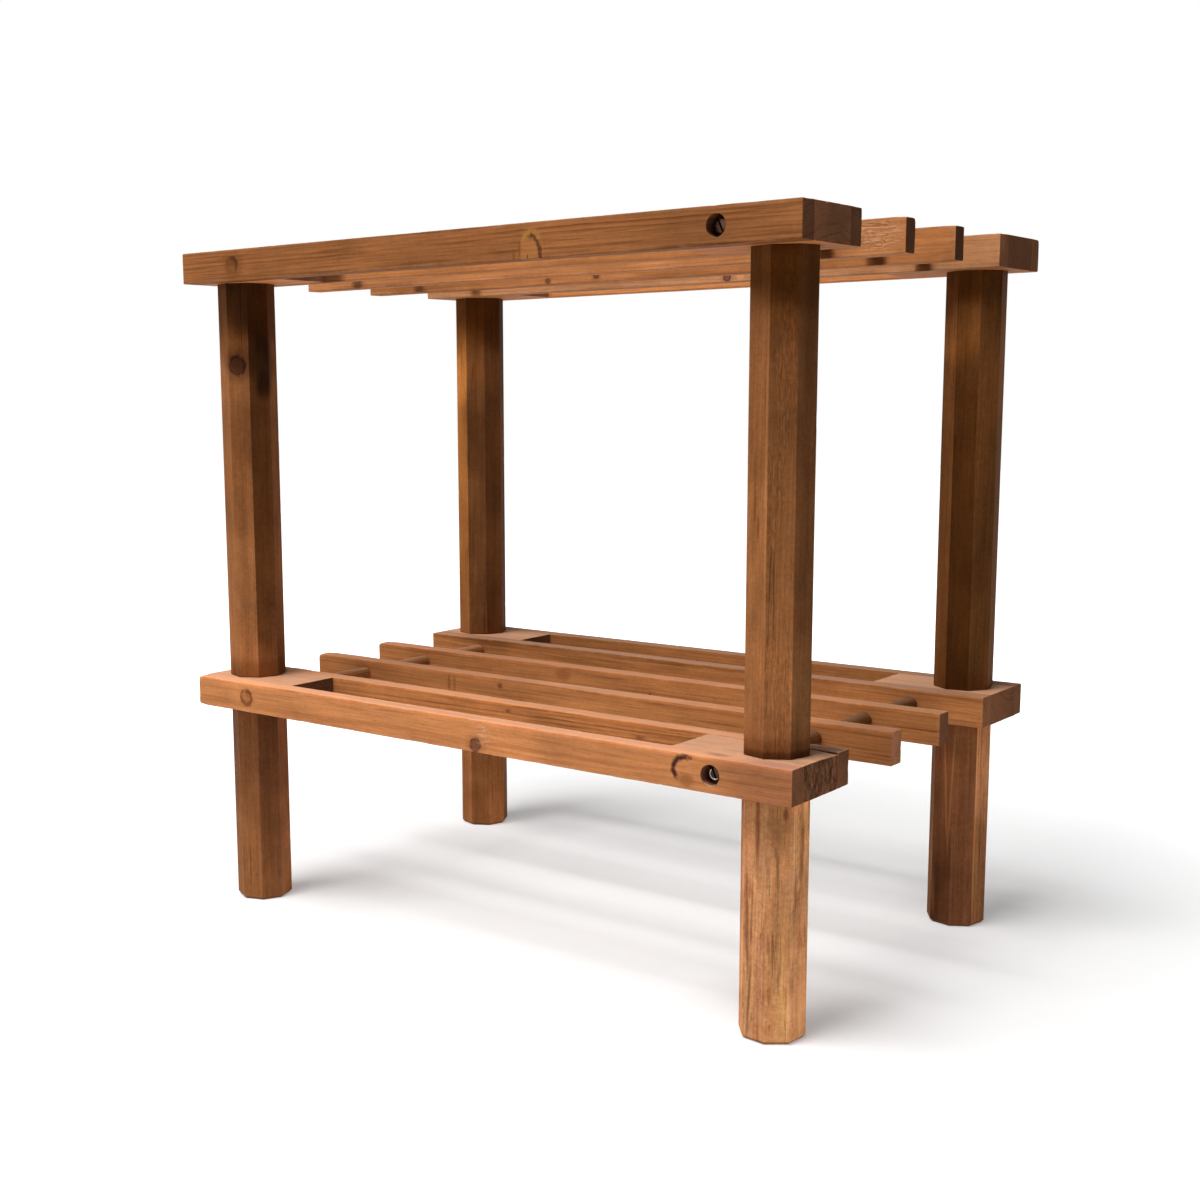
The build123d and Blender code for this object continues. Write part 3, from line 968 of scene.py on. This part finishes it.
# A wash down a leg from a height, over all facets or one: it carries stain, and also painted light and shade
def levelWash(z, reach, shade, facet=None):
    return stainAndShadeWash((0.0, 0.0, z), (farReach, farReach, reach), shade, facet)


# Painted light and shade over all of one facet: the facet is made lighter or darker as light falls on it
def paintedFacetLight(shade, facet):
    return levelWash(0.0, farReach, shade, facet)


# A mark on a leg, placed by facet, across it from its middle, and by height
def legMark(facet, across, z, radius, **strengths):
    return {"facet": facet, "across": across, "z": z, "radius": radius, **strengths}


# Leg washes mix stain with painted light and shade: washes on single facets lighten or darken them as light
# falls, the darkening under the seat and under the shelf is partly painted shadow, and the dark washes at the
# feet of the front upper legs are painted contact shadow
legWoods = {
    "front_left_upper_leg": {
        "tone": 0.54, "figure": 0.25,
        "stainAndShadeWashes": [
            levelWash(0.45, 0.085, seatShadowAndStain), levelWash(0.31, 0.06, (0.75, 0.72, 0.7)),
            levelWash(0.1635, 0.016, (0.7, 0.66, 0.6)), levelWash(0.33, 0.17, (0.46, 0.43, 0.36), 0),
            levelWash(0.435, 0.04, (0.5, 0.48, 0.5), 1), levelWash(0.345, 0.05, (0.76, 0.75, 0.74), 1),
            levelWash(0.205, 0.08, (1.22, 1.22, 1.22), 1),
            stainAndShadeWash((-0.1943, -0.1291, 0.382), (0.03, 0.012, 0.034), (0.35, 0.35, 0.4))],
        "marks": [
            legMark(1, -0.0013, 0.3815, 0.0058, stretch=1.15, heart=0.95, rim=0.8, halo=0.5),
            legMark(0, 0.0033, 0.3685, 0.003, stretch=2.0, halo=0.9)]},
    "front_right_upper_leg": {
        "tone": 0.58, "figure": 0.3, "chatter": 1.0, "chatterFacet": 1,
        "stainAndShadeWashes": [
            levelWash(0.44, 0.045, seatShadowAndStain), levelWash(0.44, 0.075, (0.75, 0.66, 0.54), 1),
            levelWash(0.44, 0.26, (0.66, 0.65, 0.62), 1), levelWash(0.1635, 0.014, (0.7, 0.66, 0.62)),
            levelWash(0.372, 0.07, (0.72, 0.7, 0.68), 2), levelWash(0.38, 0.06, (0.84, 0.83, 0.82), 1),
            levelWash(0.345, 0.16, (0.57, 0.57, 0.57), 0), levelWash(0.44, 0.04, (1.3, 1.3, 1.3), 0),
            levelWash(0.42, 0.025, (1.3, 1.35, 1.2), 1), levelWash(0.185, 0.05, (0.78, 0.84, 0.86), 0),
            # painted contact shadow at the foot, where the leg stands on the shelf's block
            levelWash(0.1635, 0.005, (0.45, 0.4, 0.34))],
        "marks": [
            # painted highlight along the edge between the left and middle facets
            legMark(2, 0.0064, 0.33, 0.0007, stretch=130.0, halo=-0.3),
            legMark(2, -0.0015, 0.3016, 0.0005, stretch=12.0, halo=0.8),
            legMark(2, 0.0011, 0.29, 0.0004, stretch=9.0, halo=0.7)]},
    "rear_left_upper_leg": {
        "tone": 0.29, "hue": (1.0, 0.98, 0.92), "figure": 0.25,
        "stainAndShadeWashes": [
            levelWash(0.45, 0.07, (0.41, 0.33, 0.2)), paintedFacetLight((1.65, 1.65, 1.5), 2),
            levelWash(0.385, 0.04, (1.35, 1.35, 1.3), 2), levelWash(0.32, 0.04, (0.75, 0.72, 0.7), 1),
            levelWash(0.32, 0.06, (0.78, 0.74, 0.7), 0), levelWash(0.4, 0.04, (1.2, 1.15, 1.0), 1),
            levelWash(0.3, 0.14, (1.2, 1.15, 0.95), 2), paintedFacetLight((0.7, 0.6, 0.45), -1)]},
    "rear_right_upper_leg": {
        "tone": 0.18, "hue": (1.0, 0.95, 0.8), "figure": 0.25,
        "stainAndShadeWashes": [
            levelWash(0.45, 0.05, (0.6, 0.55, 0.4)), paintedFacetLight((1.4, 1.35, 1.15), 3),
            paintedFacetLight((1.5, 1.4, 1.1), 0), levelWash(0.409, 0.034, (1.7, 1.7, 1.7), 3),
            paintedFacetLight((1.28, 1.28, 1.2), 1), levelWash(0.25, 0.17, (0.61, 0.54, 0.36), 2),
            levelWash(0.418, 0.045, (1.75, 1.7, 1.4), 2)]},
    "front_left_lower_leg": {
        "tone": 0.56, "figure": 0.3,
        "stainAndShadeWashes": [
            levelWash(0.143, 0.11, (0.62, 0.6, 0.6)), paintedFacetLight((0.93, 0.93, 0.96), 1),
            paintedFacetLight((0.8, 0.78, 0.82), 0), paintedFacetLight((1.5, 1.5, 1.6), -1)]},
    "rear_left_lower_leg": {
        "tone": 0.6, "figure": 0.4,
        "stainAndShadeWashes": [
            paintedFacetLight((0.9, 0.87, 0.82), 1), paintedFacetLight((1.5, 1.45, 1.4), 0),
            paintedFacetLight((1.2, 1.15, 1.1), 2)]},
    "front_right_lower_leg": {
        "tone": 1.12, "hue": (1.0, 1.08, 1.3), "figure": 0.25, "weather": 0.8,
        "stainAndShadeWashes": [
            levelWash(0.143, 0.03, (0.86, 0.86, 0.8)), levelWash(0.03, 0.14, (0.78, 0.82, 0.88), 2),
            paintedFacetLight((0.93, 0.97, 0.97), 1), paintedFacetLight((1.38, 1.45, 1.48), 0),
            levelWash(0.01, 0.1, (1.08, 1.12, 1.1), 1)],
        "marks": [
            legMark(2, -0.0047, 0.0643, 0.0007, stretch=24.0, tilt=1.5, halo=0.9),
            legMark(2, -0.0029, 0.0258, 0.0006, stretch=18.0, tilt=-3.0, halo=0.8),
            legMark(2, 0.0017, 0.126, 0.0009, stretch=14.0, halo=0.9),
            legMark(1, 0.0031, 0.1327, 0.0012, stretch=2.5, heart=0.7, halo=0.6),
            legMark(1, -0.0009, 0.1209, 0.0022, stretch=4.0, halo=0.4),
            legMark(1, 0.004, 0.04, 0.0032, stretch=12.0, halo=-0.2)]},
    "rear_right_lower_leg": {
        "tone": 0.5, "figure": 0.5, "weather": 0.15,
        "stainAndShadeWashes": [
            paintedFacetLight((0.67, 0.64, 0.72), 2), paintedFacetLight((1.48, 1.54, 1.75), 0),
            levelWash(0.0, 0.16, (0.78, 0.75, 0.9), 1), levelWash(0.143, 0.06, (1.45, 1.4, 1.5), 2),
            levelWash(0.0, 0.08, (0.66, 0.64, 0.66), 2), levelWash(0.135, 0.07, (1.5, 1.55, 1.7), 0)],
        "marks": [
            legMark(2, 0.0022, 0.0899, 0.0008, stretch=46.0, tilt=3.4, halo=-1.0),
            legMark(2, 0.0062, 0.0915, 0.0007, stretch=52.0, tilt=-2.2, halo=-0.9),
            # painted highlight along the edge between two facets
            legMark(0, -0.0069, 0.0752, 0.001, stretch=70.0, halo=-0.6),
            legMark(2, -0.0068, 0.0301, 0.0014, stretch=16.0, tilt=4.0, halo=-0.6)]}}


# Puts a mark on its facet of a leg
def facetMark(knot, axis, turn):
    angle = math.radians(turn - facetAngle * knot["facet"])
    outward = Vector((math.cos(angle), math.sin(angle), 0.0))
    sideways = Vector((-outward.y, outward.x, 0.0))
    onAxis = Vector((axis.x, axis.y, knot["z"]))
    at = onAxis + outward * legShape["Width"] / 2 + sideways * knot["across"]
    return {**knot, "at": at, "branch": outward}


ringSpacing = 0.0022


def octagonPlanes(width, length, turn):
    angles = [turn + math.pi / 4 * step for step in range(8)]
    around = [((math.cos(angle), math.sin(angle), 0.0), width / 2) for angle in angles]
    return around + [((0, 0, 1), length), ((0, 0, -1), 0.0)]


def legPiece(node, level, corner):
    low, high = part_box(node)
    shelfBlock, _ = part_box(f"shelf_{corner}_block")
    seatBlock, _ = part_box(f"seat_{corner}_block")
    postTop = seatBlock.z if level == "upper" else shelfBlock.z
    axis = Vector(((low.x + high.x) / 2, (low.y + high.y) / 2, low.z))
    length = postTop - low.z
    settings = {**legShape, "Length": length, "Tenon Length": high.z - postTop,
                "Has Socket": level == "upper", "Rings": round(length / ringSpacing),
                "Seed": float(rng.uniform(0, seedRange)), "Finish": legWood}
    if level == "upper":
        settings["Foot Chamfer"] = upperFootChamfer
    mesh = grownMesh(node, legTree, settings)
    turn = legTurns[level][corner]
    mesh.transform(Matrix.Translation(axis) @ Matrix.Rotation(math.radians(turn), 4, "Z"))
    wood = legWoods[node]
    marks = [facetMark(knot, axis, turn) for knot in wood.get("marks", ())]
    grain = {"shift": float(rng.uniform(0, 5)), "pith": tuple(rng.uniform(-0.03, 0.03, 2)),
             "lean": tuple(rng.uniform(-0.02, 0.02, 2)), **wood, "turn": turn, "marks": marks}
    giveGrain(mesh, axis, legAxes, grain)
    giveEdges(mesh, axis, octagonPlanes(legShape["Width"], length, math.radians(turn)), edgeReach["leg"])
    finishedPiece(node, mesh)


for corner in corners:
    legPiece(f"{corner}_lower_leg", "lower", corner)
    legPiece(f"{corner}_upper_leg", "upper", corner)
print("legs made")

dowelAxes = ((0, 1, 0), (1, 0, 0), (0, 0, 1))
dowelTones = {"seat_left": 0.55, "seat_right": 0.5, "shelf_left": 0.65, "shelf_right": 0.34}
# Painted shade: the lower half of each dowel is darker
dowelUndersideShade = {"seat": (0.5, 0.46, 0.42), "shelf": (0.7, 0.66, 0.6)}
dowelShape = {"Diameter": 0.01, "Chamfer": 0.0005, "Unevenness": 0.00025}


def noEdges(mesh):
    setAttribute(mesh, "edge", "FLOAT", "value", np.zeros(len(mesh.vertices)))


for tier in tiers:
    for side in sides:
        node = f"{tier}_{side}_cross_dowel"
        low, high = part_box(node)
        middle = (low + high) / 2
        settings = {**dowelShape, "Length": high.y - low.y, "Seed": float(rng.uniform(0, seedRange)),
                    "Finish": dowelWood}
        mesh = grownMesh(node, rodTree, settings)
        mesh.transform(Matrix.Translation(middle) @ Matrix.Rotation(quarterTurn, 4, "X"))
        grain = {"tone": dowelTones[f"{tier}_{side}"], "shift": float(rng.uniform(0, 5)),
                 "pith": tuple(rng.uniform(-0.02, 0.02, 2)),
                 "stainAndShadeWashes": [stainAndShadeWash(low, (farReach, farReach, 0.0105), dowelUndersideShade[tier])]}
        giveGrain(mesh, middle, dowelAxes, grain)
        noEdges(mesh)
        finishedPiece(node, mesh)
print("dowels made")

screwShape = {"Head Diameter": 0.009, "Head Height": 0.003, "Head Round": 0.0012, "Slot Width": 0.0012,
              "Slot Depth": 0.0014, "Shank Diameter": 0.0045, "Shank Length": 0.032, "Tip Length": 0.004}
slotTurns = {"front_left": 20.0, "front_right": 65.0, "rear_left": -35.0, "rear_right": 5.0}
plugShape = {"Diameter": 0.01216, "Chamfer": 0.00005}
openCorner = "front_right"
plugWoods = {
    "seat": {
        "tone": 0.62, "shift": 2.0, "pith": (0.02, 0.03),
        "stainAndShadeWashes": [stainAndShadeWash((-0.189, -0.158, 0.44775), (0.05, 0.05, 0.05), (0.47, 0.43, 0.4))],
        "marks": [mark((-0.189, -0.158, 0.44775), 0.0044, tilt=180.0, rim=-0.5, rimWidth=0.6)]},
    "shelf": {
        "tone": 0.76, "shift": 3.1, "pith": (0.02, 0.01),
        "marks": [
            mark((-0.189, -0.158, 0.15325), 0.005, rim=0.55, rimWidth=0.42, halo=0.3),
            mark((-0.1872, -0.158, 0.1556), 0.0021, halo=0.6)]}}

for tier in tiers:
    dowelAt = dowelMiddle(tier, "right")
    _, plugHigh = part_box(f"{tier}_dowel_plugs")
    ends = {"Reach X": dowelAt.x, "Height": dowelAt.z}
    floorY = plugHigh.y - bores["plugDepth"]
    turns = {f"Turn {corner}": math.radians(turn) for corner, turn in slotTurns.items()}
    settings = {**ends, **screwShape, **turns, "Reach Y": floorY, "Finish": screwSteel}
    mesh = grownMesh(f"{tier}_dowel_screws", screwTree, settings)
    finishedPiece(f"{tier}_dowel_screws", mesh)
    settings = {**ends, **plugShape, "Length": bores["plugDepth"] - screwShape["Head Height"],
                "Reach Y": plugHigh.y, "Open Corner": corners.index(openCorner), "Finish": railWood}
    mesh = grownMesh(f"{tier}_dowel_plugs", plugTree, settings)
    giveGrain(mesh, dowelAt, railAxes, plugWoods[tier])
    noEdges(mesh)
    finishedPiece(f"{tier}_dowel_plugs", mesh)
print("screws and plugs made")

# Camera at the photo's view, worked out from the bench's corners in the picture
view = {"place": (0.64243, -0.88764, 0.36256), "aim": (-0.0736, 0.0, 0.19009), "roll": -0.4342,
        "focalPixels": 1591.5, "axisPixel": (517.26, 632.41), "framePixels": 1200.0, "sensor": 36.0}


def photoCamera():
    data = bpy.data.cameras.new("photoCamera")
    camera = addObject("photoCamera", data)
    place = Vector(view["place"])
    aim = (Vector(view["aim"]) - place).to_track_quat("-Z", "Y").to_matrix().to_4x4()
    roll = Matrix.Rotation(math.radians(view["roll"]), 4, "Z")
    camera.matrix_world = Matrix.Translation(place) @ aim @ roll
    data.sensor_width = view["sensor"]
    data.lens = view["focalPixels"] / view["framePixels"] * view["sensor"]
    data.shift_x = 0.5 - view["axisPixel"][0] / view["framePixels"]
    data.shift_y = view["axisPixel"][1] / view["framePixels"] - 0.5
    data.clip_start = 0.05
    data.clip_end = 50.0
    bpy.context.scene.camera = camera


def softBox(name, place, aim, size, power):
    data = bpy.data.lights.new(name, "AREA")
    data.shape = "SQUARE"
    data.size = size
    data.energy = power
    lamp = addObject(name, data)
    lamp.location = place
    lamp.rotation_mode = "QUATERNION"
    lamp.rotation_quaternion = (Vector(aim) - Vector(place)).to_track_quat("-Z", "Y")


def whiteToCamera(tree):
    path = outputsOf(addNode(tree, "ShaderNodeLightPath"))
    return most(most(path["Is Camera Ray"], path["Is Glossy Ray"]), path["Is Transmission Ray"])


def studio():
    world = bpy.data.worlds.new("whiteStudio")
    bpy.context.scene.world = world
    world.use_nodes = True
    tree = world.node_tree
    backdrop = tree.nodes["Background"]
    backdrop.inputs["Color"].default_value = (1.0, 1.0, 1.0, 1.0)
    feed(backdrop.inputs["Strength"], remap(whiteToCamera(tree), 0.0, 1.0, 0.05, 1.0, "LINEAR"))
    size = 6.0
    floorCorners = [(-size, -size, 0), (size, -size, 0), (size, size, 0), (-size, size, 0)]
    mesh = bpy.data.meshes.new("paleFloor")
    mesh.from_pydata(floorCorners, [], [(0, 1, 2, 3)])
    floor = addObject("paleFloor", mesh)
    material = bpy.data.materials.new("paleFloor")
    material.use_nodes = True
    tree = material.node_tree
    glow = remap(calculate("LENGTH", objectPlace(tree)), 0.3, 1.1, 0.3, 1.0)  # white beyond the shadow
    look = {"Base Color": (0.72, 0.72, 0.72, 1.0), "Roughness": 0.9, "Specular IOR Level": 0.1,
            "Emission Color": (1.0, 1.0, 1.0, 1.0), "Emission Strength": whiteToCamera(tree) * glow}
    for label, value in look.items():
        feed(tree.nodes["Principled BSDF"].inputs[label], value)
    mesh.materials.append(material)
    softBox("overheadKey", (-0.3, -0.9, 2.6), (0.0, -0.05, 0.25), 1.5, 100.0)
    softBox("frontFill", (-0.9, -2.8, 1.2), (0.0, 0.0, 0.25), 1.2, 20.0)
    softBox("rightFill", (2.3, -0.7, 0.55), (0.0, 0.0, 0.2), 1.0, 5.0)


photoCamera()
studio()
bpy.context.scene.view_settings.view_transform = "Standard"
print("camera and studio made")
